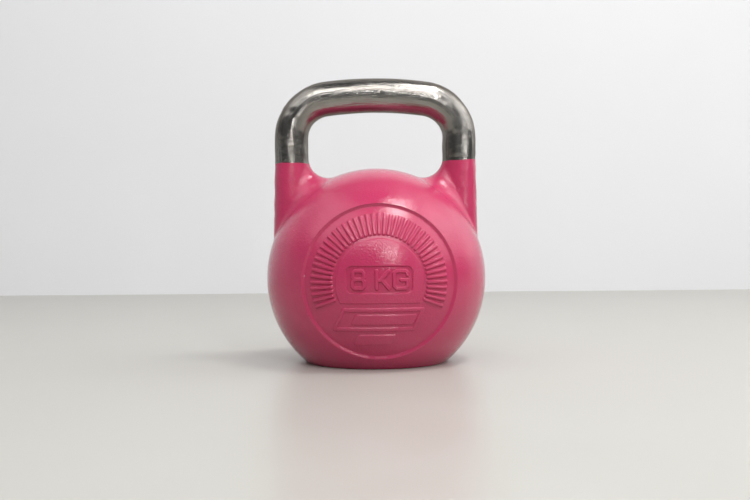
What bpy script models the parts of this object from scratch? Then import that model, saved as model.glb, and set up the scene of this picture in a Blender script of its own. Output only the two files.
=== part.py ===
"""A competition kettlebell: a hollow cast steel ball with a flat foot, two horns and a bare steel handle.

+Z is up, the origin is the centre of the foot, the handle runs along X and the front of the ball looks
along -Y. All lengths are in metres.

The ball and its two horns are one hollow casting. The handle is a bent tube. A turned spigot lines up
each of its ends with a horn, and a ring of weld metal, dressed flush, fills the V between the two. The
foot has the hole through which the casting's core was cleared, closed by a threaded plug on a washer. A
little shot set in resin under the crown brings the bell to its weight.
"""

import math

import bmesh
import bpy
from mathutils import Vector

# Driving dimensions: the outside
BALL_RADIUS = 0.1065
BALL_HEIGHT = 0.0815
TOTAL_HEIGHT = 0.276
FOOT_EDGE_RADIUS = 0.003
MEDALLION_RADIUS = 0.0702
MEDALLION_DEPTH = 0.0013

# The handle's centreline: legs, tight corners and a top that is a shallow arch
LEG_OFFSET = 0.0819
CORNER_RADIUS = 0.039
ARCH_RADIUS = 0.362
LEG_RADIUS = 0.0159
BAR_RADIUS = 0.01645
TUBE_BORE = 0.0125

# The joint between handle and horn
HORN_FILLET = 0.0195
HORN_DRAFT = math.radians(1.3)
WELD_HEIGHT = 0.2015
WELD_WIDTH = 0.005
WELD_ROOT_RADIUS = 0.0131
WELD_ROOT_WIDTH = 0.0014
SPIGOT_LENGTH = 0.034
SPIGOT_BORE = 0.007
SPIGOT_EDGE = 0.001

# The hollow and what closes it
WALL = 0.0054
FLOOR = 0.0105
CORE_HOLE_RADIUS = 0.024
THREAD_PITCH = 0.002
THREAD_DEPTH = 0.0011
SEAT_RADIUS = 0.029
SEAT_DEPTH = 0.0056
PLUG_RECESS = 0.0008
PLUG_FLANGE = 0.003
PLUG_LENGTH = 0.0075
SPANNER_HOLE_RADIUS = 0.003
SPANNER_HOLE_OFFSET = 0.014
SPANNER_HOLE_DEPTH = 0.005
WASHER_THICKNESS = 0.0012
BALLAST_DEPTH = 0.012

# Pieces that touch keep this much air between them, so that their meshes never overlap.
GAP = 0.0003
# A cutter, or the root of a joined shape, reaches this far past the surface that it crosses.
OVERLAP = 0.004
# A fillet aims this far under the ball, so that the two surfaces cross instead of only touching.
FILLET_SINK = 0.00012

# Heights and radii that follow from those
CAVITY_RADIUS = BALL_RADIUS - WALL
FLOOR_ANGLE = math.asin((FLOOR - BALL_HEIGHT) / CAVITY_RADIUS)
HORN_TOP = WELD_HEIGHT - WELD_WIDTH / 2
TUBE_END = WELD_HEIGHT + WELD_WIDTH / 2
ARCH_CENTRE = TOTAL_HEIGHT - BAR_RADIUS - ARCH_RADIUS
CORNER_OFFSET = LEG_OFFSET - CORNER_RADIUS
CORNER_HEIGHT = ARCH_CENTRE + math.sqrt((ARCH_RADIUS - CORNER_RADIUS) ** 2 - CORNER_OFFSET**2)
ARCH_HALF_ANGLE = math.asin(CORNER_OFFSET / (ARCH_RADIUS - CORNER_RADIUS))
PLUG_SHOULDER = PLUG_RECESS + PLUG_FLANGE

# Facets round each kind of shape, and along its curves
BALL_FACETS = 56
BALL_ROWS = 22
FOOT_EDGE_ROWS = 3
CAVITY_FACETS = 32
CAVITY_ROWS = 14
MEDALLION_FACETS = 40
MEDALLION_ROWS = 6
HORN_FACETS = 28
FILLET_ROWS = 8
TUBE_FACETS = 24
CORNER_ROWS = 9
ARCH_ROWS = 4
THREAD_FACETS = 36
THREAD_ROWS_PER_TURN = 4
SMALL_FACETS = 16

SHARP_ANGLE = math.radians(30)
SIDES = (("left", -1), ("right", 1))


# Helpers


def clear_scene():
    for obj in list(bpy.data.objects):
        bpy.data.objects.remove(obj)


def make_finish(name, colour, metallic, roughness):
    """A Principled material in one linear colour."""
    material = bpy.data.materials.new(name)
    material.use_nodes = True
    shader = material.node_tree.nodes["Principled BSDF"]
    shader.inputs["Base Color"].default_value = (*colour, 1.0)
    shader.inputs["Metallic"].default_value = metallic
    shader.inputs["Roughness"].default_value = roughness
    return material


def place(name, shape, material=None, location=(0, 0, 0)):
    """Puts a bmesh in the scene as a named object, shaded smooth but for its sharp edges."""
    bmesh.ops.recalc_face_normals(shape, faces=shape.faces)
    mesh = bpy.data.meshes.new(name)
    shape.to_mesh(mesh)
    shape.free()
    mesh.shade_smooth()
    mesh.set_sharp_from_angle(angle=SHARP_ANGLE)
    if material:
        mesh.materials.append(material)
    obj = bpy.data.objects.new(name, mesh)
    obj.location = location
    bpy.context.scene.collection.objects.link(obj)
    return obj


def combine(target, operation, tool):
    """Cuts a tool shape from the target, or joins it to the target, by a Boolean modifier."""
    tool.hide_render = True
    tool.display_type = "WIRE"
    modifier = target.modifiers.new(tool.name, "BOOLEAN")
    modifier.operation = operation
    modifier.object = tool


def arc(centre, radius, start, end, steps):
    """Points on an arc in a plane, from the start angle to the end angle."""
    angles = [start + (end - start) * i / steps for i in range(steps + 1)]
    return [(centre[0] + radius * math.cos(a), centre[1] + radius * math.sin(a)) for a in angles]


def turned(profile, facets):
    """A profile of (radius, height) points, which starts and ends on the axis, turned round Z."""
    shape = bmesh.new()
    verts = [shape.verts.new((radius, 0, height)) for radius, height in profile]
    edges = [shape.edges.new(pair) for pair in zip(verts, verts[1:])]
    bmesh.ops.spin(
        shape,
        geom=verts + edges,
        cent=(0, 0, 0),
        axis=(0, 0, 1),
        angle=2 * math.pi,
        steps=facets,
        use_merge=True,
    )
    bmesh.ops.remove_doubles(shape, verts=shape.verts, dist=1e-6)
    return shape


def circle(centre, radius, facets, across=Vector((1, 0, 0))):
    """A ring of points round a centre, in the plane of the across direction and Y."""
    angles = [2 * math.pi * i / facets for i in range(facets)]
    along_y = Vector((0, 1, 0))
    return [centre + radius * (math.cos(a) * across + math.sin(a) * along_y) for a in angles]


def skinned(rings, loop=False):
    """A skin over rings of points. Its ends are capped or, in a loop, the last ring meets the first."""
    shape = bmesh.new()
    rows = [[shape.verts.new(point) for point in ring] for ring in rings]
    pairs = list(zip(rows, rows[1:]))
    if loop:
        pairs.append((rows[-1], rows[0]))
    for lower, upper in pairs:
        for i in range(len(lower)):
            j = (i + 1) % len(lower)
            shape.faces.new((lower[i], lower[j], upper[j], upper[i]))
    if not loop:
        shape.faces.new(rows[0])
        shape.faces.new(rows[-1])
    return shape


def sleeve(outline, facets):
    """A closed outline of (radius, height) points, clear of the axis, turned round Z."""
    rings = [circle(Vector((0, 0, height)), radius, facets) for radius, height in outline]
    return skinned(rings, loop=True)


def cylinder(radius, bottom, top, facets):
    return turned([(0, bottom), (radius, bottom), (radius, top), (0, top)], facets)


def threaded_rod(radius, bottom, top):
    """A rod with an outside thread: its radius falls and rises once along each pitch of a helix."""
    rows = round((top - bottom) / THREAD_PITCH * THREAD_ROWS_PER_TURN)
    rings = []
    for row in range(rows + 1):
        height = bottom + (top - bottom) * row / rows
        ring = []
        for i in range(THREAD_FACETS):
            turn = i / THREAD_FACETS
            phase = (height / THREAD_PITCH - turn) % 1
            groove = THREAD_DEPTH * abs(2 * phase - 1)
            angle = 2 * math.pi * turn
            ring.append(((radius - groove) * math.cos(angle), (radius - groove) * math.sin(angle), height))
        rings.append(ring)
    return skinned(rings)


# The casting


def ball_profile():
    """Flat foot, rounded foot edge, and the sphere up to its pole."""
    reach = BALL_RADIUS - FOOT_EDGE_RADIUS
    edge_offset = math.sqrt(reach**2 - (BALL_HEIGHT - FOOT_EDGE_RADIUS) ** 2)
    meeting = math.atan2(FOOT_EDGE_RADIUS - BALL_HEIGHT, edge_offset)
    edge = arc((edge_offset, FOOT_EDGE_RADIUS), FOOT_EDGE_RADIUS, -math.pi / 2, meeting, FOOT_EDGE_ROWS)
    sphere = arc((0, BALL_HEIGHT), BALL_RADIUS, meeting, math.pi / 2, BALL_ROWS)
    return [(0, 0), *edge, *sphere[1:-1], (0, BALL_HEIGHT + BALL_RADIUS)]


def cavity_profile():
    """The hollow: a sphere inside the ball, cut off by the floor."""
    sphere = arc((0, BALL_HEIGHT), CAVITY_RADIUS, FLOOR_ANGLE, math.pi / 2, CAVITY_ROWS)
    return [(0, FLOOR), *sphere[:-1], (0, BALL_HEIGHT + CAVITY_RADIUS)]


def medallion_profile():
    """The space in front of a medallion, as (radius, distance from the ball's centre).

    Its floor is a sphere inside the ball, and its wall leans outwards to the rim and on past it.
    """
    floor_radius = BALL_RADIUS - MEDALLION_DEPTH
    floor_edge = math.acos((MEDALLION_RADIUS - MEDALLION_DEPTH) / floor_radius)
    floor = arc((0, 0), floor_radius, math.pi / 2, floor_edge, MEDALLION_ROWS)
    rim = Vector((MEDALLION_RADIUS, math.sqrt(BALL_RADIUS**2 - MEDALLION_RADIUS**2)))
    outer = rim + (rim - Vector(floor[-1])) * OVERLAP / MEDALLION_DEPTH
    front = BALL_RADIUS + OVERLAP
    return [(0, floor_radius), *floor[1:], tuple(outer), (outer.x, front), (0, front)]


def horn_section(angle):
    """The horn's skin in one upright half-plane through its axis, from the top down into the ball.

    The points are (distance from the horn's axis, height above the ball's centre). The half-plane cuts
    the ball in a circle whose centre is off the axis. The fillet is the arc that touches both that circle
    and the drafted side of the horn.
    """
    lip = (WELD_ROOT_RADIUS, WELD_HEIGHT - WELD_ROOT_WIDTH / 2 - BALL_HEIGHT)
    top = (LEG_RADIUS, HORN_TOP - BALL_HEIGHT)
    slope = math.tan(HORN_DRAFT)
    cut_centre = -LEG_OFFSET * math.cos(angle)
    cut_radius = math.sqrt((BALL_RADIUS - FILLET_SINK) ** 2 - (LEG_OFFSET * math.sin(angle)) ** 2)
    reach = cut_radius + HORN_FILLET
    spread = LEG_RADIUS + top[1] * slope + HORN_FILLET / math.cos(HORN_DRAFT) - cut_centre
    root = math.sqrt((spread * slope) ** 2 - (1 + slope**2) * (spread**2 - reach**2))
    height = (spread * slope + root) / (1 + slope**2)
    offset = spread - height * slope
    start = math.pi + HORN_DRAFT
    end = math.atan2(-height, -offset) % (2 * math.pi)
    fillet = arc((offset + cut_centre, height), HORN_FILLET, start, end, FILLET_ROWS)
    return [lip, top, *fillet]


def horn(side):
    """A horn as a solid whose root is buried in the ball."""
    angles = [2 * math.pi * i / HORN_FACETS for i in range(HORN_FACETS)]
    rings = []
    for row in zip(*[horn_section(angle) for angle in angles]):
        ring = []
        for angle, (distance, height) in zip(angles, row):
            x = side * (LEG_OFFSET + distance * math.cos(angle))
            ring.append(Vector((x, distance * math.sin(angle), BALL_HEIGHT + height)))
        rings.append(ring)
    centre = Vector((0, 0, BALL_HEIGHT))
    buried = 1 - OVERLAP / BALL_RADIUS
    rings.append([centre.lerp(point, buried) for point in rings[-1]])
    return skinned(rings)


def make_ball_shell(material):
    shell = place("ball_shell", turned(ball_profile(), BALL_FACETS), material)
    for word, side in SIDES:
        combine(shell, "UNION", place(f"{word}_horn_tool", horn(side)))
    combine(shell, "DIFFERENCE", place("cavity_tool", turned(cavity_profile(), CAVITY_FACETS)))
    seat = cylinder(SEAT_RADIUS, -OVERLAP, SEAT_DEPTH, THREAD_FACETS)
    combine(shell, "DIFFERENCE", place("seat_tool", seat))
    thread = threaded_rod(CORE_HOLE_RADIUS, SEAT_DEPTH - OVERLAP, FLOOR + OVERLAP)
    combine(shell, "DIFFERENCE", place("thread_tool", thread))
    bore_bottom = WELD_HEIGHT - SPIGOT_LENGTH / 2 - GAP
    for word, side in SIDES:
        bore = cylinder(TUBE_BORE, bore_bottom, WELD_HEIGHT, TUBE_FACETS)
        at_leg = (side * LEG_OFFSET, 0, 0)
        combine(shell, "DIFFERENCE", place(f"{word}_bore_tool", bore, location=at_leg))
    for word, quarter in (("front", 1), ("back", -1)):
        recess = turned(medallion_profile(), MEDALLION_FACETS)
        tool = place(f"{word}_medallion_tool", recess, location=(0, 0, BALL_HEIGHT))
        tool.rotation_euler.x = quarter * math.pi / 2
        combine(shell, "DIFFERENCE", tool)


# The handle and its joints


def handle_path():
    """The centreline, as (point, direction to the outside of the bend, share of the way to the bar)."""
    right = [(Vector((LEG_OFFSET, 0, TUBE_END)), Vector((1, 0, 0)), 0)]
    bend = math.pi / 2 - ARCH_HALF_ANGLE
    corner_centre = Vector((CORNER_OFFSET, 0, CORNER_HEIGHT))
    for i in range(CORNER_ROWS + 1):
        share = i / CORNER_ROWS
        normal = Vector((math.cos(bend * share), 0, math.sin(bend * share)))
        right.append((corner_centre + CORNER_RADIUS * normal, normal, share))
    arch_centre = Vector((0, 0, ARCH_CENTRE))
    for i in range(1, ARCH_ROWS):
        angle = bend + ARCH_HALF_ANGLE * i / ARCH_ROWS
        normal = Vector((math.cos(angle), 0, math.sin(angle)))
        right.append((arch_centre + ARCH_RADIUS * normal, normal, 1))
    up = Vector((0, 0, 1))
    crown = (arch_centre + ARCH_RADIUS * up, up, 1)
    mirror = Vector((-1, 1, 1))
    left = [(point * mirror, normal * mirror, share) for point, normal, share in reversed(right)]
    return [*right, crown, *left]


def make_handle(material):
    """A bent tube, a little thicker along the bar than down the legs, with bevelled ends."""
    outer = []
    inner = []
    for point, normal, share in handle_path():
        ease = share * share * (3 - 2 * share)
        radius = LEG_RADIUS + (BAR_RADIUS - LEG_RADIUS) * ease
        outer.append(circle(point, radius, TUBE_FACETS, normal))
        inner.append(circle(point, TUBE_BORE, TUBE_FACETS, normal))
    lip_height = WELD_HEIGHT + WELD_ROOT_WIDTH / 2
    lips = []
    mouths = []
    for side in (1, -1):
        centre = Vector((side * LEG_OFFSET, 0, lip_height))
        outwards = Vector((side, 0, 0))
        lips.append(circle(centre, WELD_ROOT_RADIUS, TUBE_FACETS, outwards))
        mouths.append(circle(centre, TUBE_BORE, TUBE_FACETS, outwards))
    rings = [lips[0], *outer, lips[1], mouths[1], *reversed(inner), mouths[0]]
    place("handle", skinned(rings, loop=True), material)


def make_welds(material):
    """Rings of weld metal, V-shaped in section, each in the groove between a horn and the handle."""
    slant = (WELD_WIDTH - WELD_ROOT_WIDTH) / 2 / (LEG_RADIUS - WELD_ROOT_RADIUS)
    side_gap = GAP * math.hypot(1, slant)
    root = WELD_ROOT_WIDTH / 2 - side_gap
    face = WELD_WIDTH / 2 - side_gap
    outline = [
        (WELD_ROOT_RADIUS, -root),
        (LEG_RADIUS, -face),
        (LEG_RADIUS, face),
        (WELD_ROOT_RADIUS, root),
    ]
    for word, side in SIDES:
        at_joint = (side * LEG_OFFSET, 0, WELD_HEIGHT)
        place(f"{word}_handle_weld", sleeve(outline, TUBE_FACETS), material, at_joint)


def make_spigots(material):
    """Sleeves that bridge the joints from the horns' bores to the handle's, with their edges eased."""
    outside = TUBE_BORE - GAP
    half = SPIGOT_LENGTH / 2
    outline = [
        (SPIGOT_BORE, -half),
        (outside - SPIGOT_EDGE, -half),
        (outside, SPIGOT_EDGE - half),
        (outside, half - SPIGOT_EDGE),
        (outside - SPIGOT_EDGE, half),
        (SPIGOT_BORE, half),
    ]
    for word, side in SIDES:
        at_joint = (side * LEG_OFFSET, 0, WELD_HEIGHT)
        place(f"{word}_handle_spigot", sleeve(outline, TUBE_FACETS), material, at_joint)


# What closes and fills the ball


def make_core_plug(material):
    """A flange with two spanner holes under a threaded body, just inside the plane of the foot."""
    flange = cylinder(SEAT_RADIUS - GAP, PLUG_RECESS, PLUG_SHOULDER, THREAD_FACETS)
    plug = place("core_plug", flange, material)
    buried = PLUG_SHOULDER - PLUG_FLANGE / 2
    body = threaded_rod(CORE_HOLE_RADIUS - GAP, buried, PLUG_SHOULDER + PLUG_LENGTH)
    combine(plug, "UNION", place("plug_body_tool", body))
    for word, side in SIDES:
        hole = cylinder(SPANNER_HOLE_RADIUS, -OVERLAP, PLUG_RECESS + SPANNER_HOLE_DEPTH, SMALL_FACETS)
        at_hole = (side * SPANNER_HOLE_OFFSET, 0, 0)
        combine(plug, "DIFFERENCE", place(f"{word}_spanner_tool", hole, location=at_hole))


def make_plug_washer(material):
    bottom = PLUG_SHOULDER + GAP
    top = bottom + WASHER_THICKNESS
    inside = CORE_HOLE_RADIUS + GAP
    outside = SEAT_RADIUS - GAP
    outline = [(inside, bottom), (outside, bottom), (outside, top), (inside, top)]
    place("plug_washer", sleeve(outline, THREAD_FACETS), material)


def make_trim_ballast(material):
    """A cap of shot and resin that set under the crown while the ball stood upside down.

    Its depth is rounded to whole rows of the hollow's facets, so that it fits them with an even gap.
    """
    radius = CAVITY_RADIUS - GAP
    row_angle = (math.pi / 2 - FLOOR_ANGLE) / CAVITY_ROWS
    rows = round(math.acos(1 - BALLAST_DEPTH / radius) / row_angle)
    crown = arc((0, BALL_HEIGHT), radius, math.pi / 2 - rows * row_angle, math.pi / 2, rows)
    profile = [(0, crown[0][1]), *crown[:-1], (0, BALL_HEIGHT + radius)]
    place("trim_ballast", turned(profile, CAVITY_FACETS), material)


def main():
    clear_scene()
    enamel = make_finish("pink_enamel", (0.58, 0.06, 0.15), 0.0, 0.3)
    bare_steel = make_finish("ground_steel", (0.3, 0.28, 0.26), 1.0, 0.35)
    weld_metal = make_finish("weld_metal", (0.33, 0.31, 0.29), 1.0, 0.4)
    turned_steel = make_finish("turned_steel", (0.42, 0.42, 0.42), 1.0, 0.3)
    rubber = make_finish("black_rubber", (0.02, 0.02, 0.02), 0.0, 0.8)
    shot = make_finish("shot_in_resin", (0.16, 0.15, 0.14), 0.5, 0.7)

    make_ball_shell(enamel)
    make_handle(bare_steel)
    make_welds(weld_metal)
    make_spigots(turned_steel)
    make_core_plug(turned_steel)
    make_plug_washer(rubber)
    make_trim_ballast(shot)


main()
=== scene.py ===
# %% [markdown]
# # A competition kettlebell
#
# The bell is a hollow steel casting, painted pink, with a bare steel handle that is ground by hand.
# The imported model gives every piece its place. This file builds the surfaces that are seen, at the
# fineness that light needs, and the finishes on them. All lengths are in metres, +Z is up, the
# front looks along -Y.

import bpy
import numpy as np
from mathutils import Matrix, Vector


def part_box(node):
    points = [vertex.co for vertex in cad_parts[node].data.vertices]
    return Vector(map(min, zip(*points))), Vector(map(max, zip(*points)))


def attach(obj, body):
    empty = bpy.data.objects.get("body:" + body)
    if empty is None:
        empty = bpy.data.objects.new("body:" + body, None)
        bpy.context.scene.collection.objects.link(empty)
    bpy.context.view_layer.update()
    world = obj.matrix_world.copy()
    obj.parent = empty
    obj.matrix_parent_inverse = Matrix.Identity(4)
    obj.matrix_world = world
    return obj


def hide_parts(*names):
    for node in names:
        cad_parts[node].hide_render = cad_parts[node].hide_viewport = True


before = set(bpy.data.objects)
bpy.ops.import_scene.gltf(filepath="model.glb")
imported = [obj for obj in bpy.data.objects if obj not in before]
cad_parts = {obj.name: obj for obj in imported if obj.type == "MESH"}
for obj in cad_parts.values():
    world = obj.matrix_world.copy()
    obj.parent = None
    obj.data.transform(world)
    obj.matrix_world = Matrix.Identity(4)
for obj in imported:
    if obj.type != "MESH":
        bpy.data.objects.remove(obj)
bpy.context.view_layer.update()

# %% [markdown]
# ## Dimensions
#
# The frame gives the handle's height, the spigots' distance from the middle and the height of the
# weld. The radii are the design's own numbers. A kettlebell is all arcs and spheres, so a few radii
# fix its whole outline.

# %% Read the sizes
MM = 0.001
BALL_RADIUS = 106.5 * MM
BALL_CENTRE = np.array([0.0, 0.0, 81.5 * MM])
FOOT_EDGE = 3.0 * MM
LEG_RADIUS = 16.2 * MM
BAR_RADIUS = 16.75 * MM
TUBE_BORE = 12.5 * MM
CORNER_RADIUS = 39.0 * MM
ARCH_RADIUS = 362.0 * MM

_, handle_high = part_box("handle")
weld_low, weld_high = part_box("right_handle_weld")
spigot_low, spigot_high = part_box("right_handle_spigot")
plug_low, plug_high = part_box("core_plug")
washer_low, washer_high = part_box("plug_washer")
leg_offset = (spigot_low.x + spigot_high.x) / 2
weld_height = (weld_low.z + weld_high.z) / 2
total_height = handle_high.z
print(f"leg offset {leg_offset:.4f}, weld height {weld_height:.4f}")
print(f"total height {total_height:.4f}")
print(f"plug from {plug_low.z:.4f} to {plug_high.z:.4f}")
print(f"washer from {washer_low.z:.4f} to {washer_high.z:.4f}")

# %% [markdown]
# ## The camera
#
# It stands a little over a metre in front of the bell, just above the ball's centre, with a longer
# lens, so that the ball stays round. It looks slightly down and a touch from the left, and leans by
# a third of a degree, as a camera held in the hand does.

# %% Place the camera
CAMERA_PLACE = (-0.0411, -1.092, 0.1381)
CAMERA_TURN = np.radians([88.44, 0.35, -2.11])
FOCAL_LENGTH = 53.5

camera_data = bpy.data.cameras.new("camera")
camera_data.lens = FOCAL_LENGTH
camera = bpy.data.objects.new("camera", camera_data)
camera.location = CAMERA_PLACE
camera.rotation_euler = CAMERA_TURN
bpy.context.scene.collection.objects.link(camera)
bpy.context.scene.camera = camera
print("camera at", tuple(camera.location))

# %% [markdown]
# ## Building blocks
#
# Every new surface here is a grid of points worked out by a formula. One helper closes a grid into
# a mesh. Another writes the exact surface direction at each corner, so that a few thousand facets
# shade like the smooth casting. A third cuts or joins two meshes.

# %% Grids into meshes
def grid_faces(rows, columns, wrap_columns=True, wrap_rows=False):
    """Quads between neighbours on a grid, with either direction closed on itself if asked."""
    row = np.arange(rows if wrap_rows else rows - 1)[:, None]
    column = np.arange(columns if wrap_columns else columns - 1)[None, :]
    next_row = (row + 1) % rows
    next_column = (column + 1) % columns
    corners = (
        row * columns + column,
        row * columns + next_column,
        next_row * columns + next_column,
        next_row * columns + column,
    )
    return np.stack(np.broadcast_arrays(*corners), axis=-1).reshape(-1, 4)


def new_piece(name, points, faces):
    """A mesh object from an array of points and a list of face corners."""
    mesh = bpy.data.meshes.new(name)
    mesh.from_pydata(np.asarray(points).reshape(-1, 3).tolist(), [], faces)
    mesh.shade_smooth()
    piece = bpy.data.objects.new(name, mesh)
    bpy.context.scene.collection.objects.link(piece)
    return piece


def mesh_points(mesh):
    """The places of a mesh's vertices, one row each."""
    points = np.empty(len(mesh.vertices) * 3)
    mesh.vertices.foreach_get("co", points)
    return points.reshape(-1, 3)


def turned(name, profile, sides, axis, centre):
    """A solid turned round an axis through a centre. Its profile starts and ends on that axis.

    Point (r, h) of the profile becomes (r cos a, r sin a, h) for each angle a. The two ends of the
    profile become one point each. Round Y, the solid is tipped so that its height runs along -Y.
    """
    profile = np.asarray(profile)
    angle = np.arange(sides) * 2 * np.pi / sides
    ring = profile[1:-1]
    x = ring[:, :1] * np.cos(angle)
    y = ring[:, :1] * np.sin(angle)
    z = np.broadcast_to(ring[:, 1:], x.shape)
    body = np.stack([x, y, z], axis=-1).reshape(-1, 3)
    ends = np.array([[0, 0, profile[0, 1]], [0, 0, profile[-1, 1]]])
    points = np.concatenate([body, ends])
    faces = grid_faces(len(ring), sides).tolist()
    first, last = len(body), len(body) + 1
    top = (len(ring) - 1) * sides
    for i in range(sides):
        j = (i + 1) % sides
        faces.append([first, j, i])
        faces.append([last, top + i, top + j])
    if axis == "Y":
        points = np.stack([points[:, 0], -points[:, 2], points[:, 1]], axis=-1)
    return new_piece(name, points + centre, faces)


def arc_points(centre, radius, turn):
    """centre + radius (cos turn, sin turn), for a whole array of turns."""
    return np.stack([centre[0] + radius * np.cos(turn), centre[1] + radius * np.sin(turn)], axis=-1)


def arc(centre, radius, start, end, steps):
    """Points on an arc, with the turn going evenly from start to end."""
    return arc_points(centre, radius, np.linspace(start, end, steps + 1))


print("grid helpers ready")

# %% Joining and cutting
def combine(target, operation, tool):
    """Joins or cuts with an exact Boolean, applies it and removes the tool."""
    modifier = target.modifiers.new("shape", "BOOLEAN")
    modifier.operation = operation
    modifier.object = tool
    modifier.solver = "EXACT"
    evaluated = target.evaluated_get(bpy.context.evaluated_depsgraph_get())
    result = bpy.data.meshes.new_from_object(evaluated)
    target.modifiers.clear()
    old = target.data
    target.data = result
    result.name = target.name
    bpy.data.meshes.remove(old)
    bpy.data.objects.remove(tool)


print("Boolean helper ready")

# %% Surface directions from a field
SHORTEST = 1e-12


def gradient(field, points, step=0.05 * MM):
    """The direction in which a field grows fastest.

    It is the field's central difference along X, Y and Z, divided by its own length.
    """
    slope = np.empty_like(points)
    for axis in range(3):
        shift = np.zeros(3)
        shift[axis] = step
        slope[:, axis] = field(points + shift) - field(points - shift)
    return slope / np.maximum(np.linalg.norm(slope, axis=1, keepdims=True), SHORTEST)


def set_directions(mesh, directions):
    """Gives each vertex its exact surface direction. A zero one leaves the shading as it was."""
    mesh.normals_split_custom_set_from_vertices(directions.tolist())


print("direction helpers ready")

# %% [markdown]
# ## Hand-made unevenness
#
# A casting is never a perfect sphere: the sand leaves slow swells, and the horns are dressed with a
# grinder before they are painted. Both are slow changes of height, so they are added to the shape
# itself, as smooth noise that depends only on the place in space. Neighbouring pieces then still
# meet.

# %% Smooth noise
LATTICE_SIZE = 32
LATTICE_SHIFT = 500.0


def value_noise(points, size, seed):
    """Smooth noise from -1 to 1: random values on a cubic lattice, eased between.

    The lattice's cells have the given size. It repeats, and the shift keeps cell numbers positive.
    """
    lattice = np.random.default_rng(seed).uniform(-1, 1, (LATTICE_SIZE,) * 3)
    place = points / size + LATTICE_SHIFT
    cell = np.floor(place).astype(int)
    part = place - cell
    ease = part * part * (3 - 2 * part)
    total = np.zeros(len(points))
    for corner in np.ndindex(2, 2, 2):
        weight = np.prod(np.where(corner, ease, 1 - ease), axis=1)
        x, y, z = ((cell + corner) % LATTICE_SIZE).T
        total += weight * lattice[x, y, z]
    return total


def smoothstep(low, high, value):
    """0 at low, 1 at high, and 3 s^2 - 2 s^3 between, where s is the share of the way."""
    share = np.clip((value - low) / (high - low), 0, 1)
    return share * share * (3 - 2 * share)


print("smooth noise over one lattice of", LATTICE_SIZE, "cells a side")

# %% The unevenness of the painted casting
SWELL_HEIGHT, SWELL_SIZE = 0.05 * MM, 21 * MM
FLAT_FOOT_HEIGHT = 12 * MM
HORN_NEAR, HORN_FULL = 52 * MM, 66 * MM
DRESSED_FROM, DRESSED_FULL = 128 * MM, 150 * MM
ROUGH_PATCH = np.array([0.078, -0.019, 0.167])
ROUGH_REACH = 5 * MM


def unevenness(points):
    """How far the painted surface stands off its true shape.

    It is the sum of slow swells that fade out over the ground foot, two sizes of noise where the
    horns were dressed, and fine noise in one rough patch, which fades as a bell curve.
    """
    above_foot = smoothstep(0, FLAT_FOOT_HEIGHT, points[:, 2])
    swell = SWELL_HEIGHT * value_noise(points, SWELL_SIZE, 1) * above_foot
    near_horn = smoothstep(HORN_NEAR, HORN_FULL, np.abs(points[:, 0]))
    high = smoothstep(DRESSED_FROM, DRESSED_FULL, points[:, 2])
    dressed = 0.24 * value_noise(points, 11 * MM, 2) + 0.14 * value_noise(points, 4.5 * MM, 3)
    from_patch = np.linalg.norm(points - ROUGH_PATCH, axis=1)
    rough = 0.3 * value_noise(points, 2.4 * MM, 6) * np.exp(-((from_patch / ROUGH_REACH) ** 2))
    return swell + (dressed * near_horn * high + rough) * MM


print("unevenness at the crown, in millimetres:", unevenness(np.array([[0.0, 0.0, 0.188]])) / MM)

# %% [markdown]
# ## The casting: a hollow ball
#
# The ball is turned: one profile runs from the crown down the inside, out through the hole in the
# foot, round the foot's edge and up the sphere to the crown again. A lathe shape gives an exact
# circle where the bell stands on the floor, which is the one edge that everybody sees.

# %% Turn the ball
WALL = 5.4 * MM
FLOOR = 10.5 * MM
SEAT_RADIUS = 29.0 * MM
SEAT_DEPTH = 5.6 * MM
HOLE_RADIUS = 24.0 * MM
SEAT_CHAMFER = 0.4 * MM
FOOT_STEPS = 8
SPHERE_STEPS = 84
CAVITY_STEPS = 32
BALL_SIDES = 192

edge_offset = np.sqrt((BALL_RADIUS - FOOT_EDGE) ** 2 - (BALL_CENTRE[2] - FOOT_EDGE) ** 2)
edge_angle = np.arctan2(FOOT_EDGE - BALL_CENTRE[2], edge_offset)


def ball_profile():
    """From the inner pole down the inside, out through the hole, and up the outside to the pole."""
    middle = (0, BALL_CENTRE[2])
    crown = BALL_CENTRE[2] + BALL_RADIUS
    cavity = BALL_RADIUS - WALL
    floor_angle = np.arcsin((FLOOR - BALL_CENTRE[2]) / cavity)
    inside = arc(middle, cavity, np.pi / 2, floor_angle, CAVITY_STEPS)
    hole = [(HOLE_RADIUS, FLOOR), (HOLE_RADIUS, SEAT_DEPTH)]
    foot = [(SEAT_RADIUS, SEAT_DEPTH), (SEAT_RADIUS, SEAT_CHAMFER), (SEAT_RADIUS + SEAT_CHAMFER, 0)]
    edge = arc((edge_offset, FOOT_EDGE), FOOT_EDGE, -np.pi / 2, edge_angle, FOOT_STEPS)
    outside = arc(middle, BALL_RADIUS, edge_angle, np.pi / 2, SPHERE_STEPS)
    inner_pole, outer_pole = [(0, crown - WALL)], [(0, crown)]
    return np.concatenate([inner_pole, inside[1:], hole, foot, edge, outside[1:-1], outer_pole])


casting = turned("casting", ball_profile(), BALL_SIDES, "Z", np.zeros(3))
print("casting:", len(casting.data.vertices), "points")

# %% [markdown]
# ## The horns
#
# Each horn is an upright round post, slightly wider at its root, that runs into the ball with a
# soft fillet. In any upright half-plane through the horn's axis the ball is a circle, so the fillet
# is the one arc that touches that circle and the post's side. Its centre is solved for all
# directions at once.

# %% Solve the fillets
FILLET = 19.5 * MM
DRAFT = np.radians(1.3)
WELD_HALF = 2.5 * MM
HORN_TOP = weld_height - WELD_HALF
SLOPE = np.tan(DRAFT)


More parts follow.
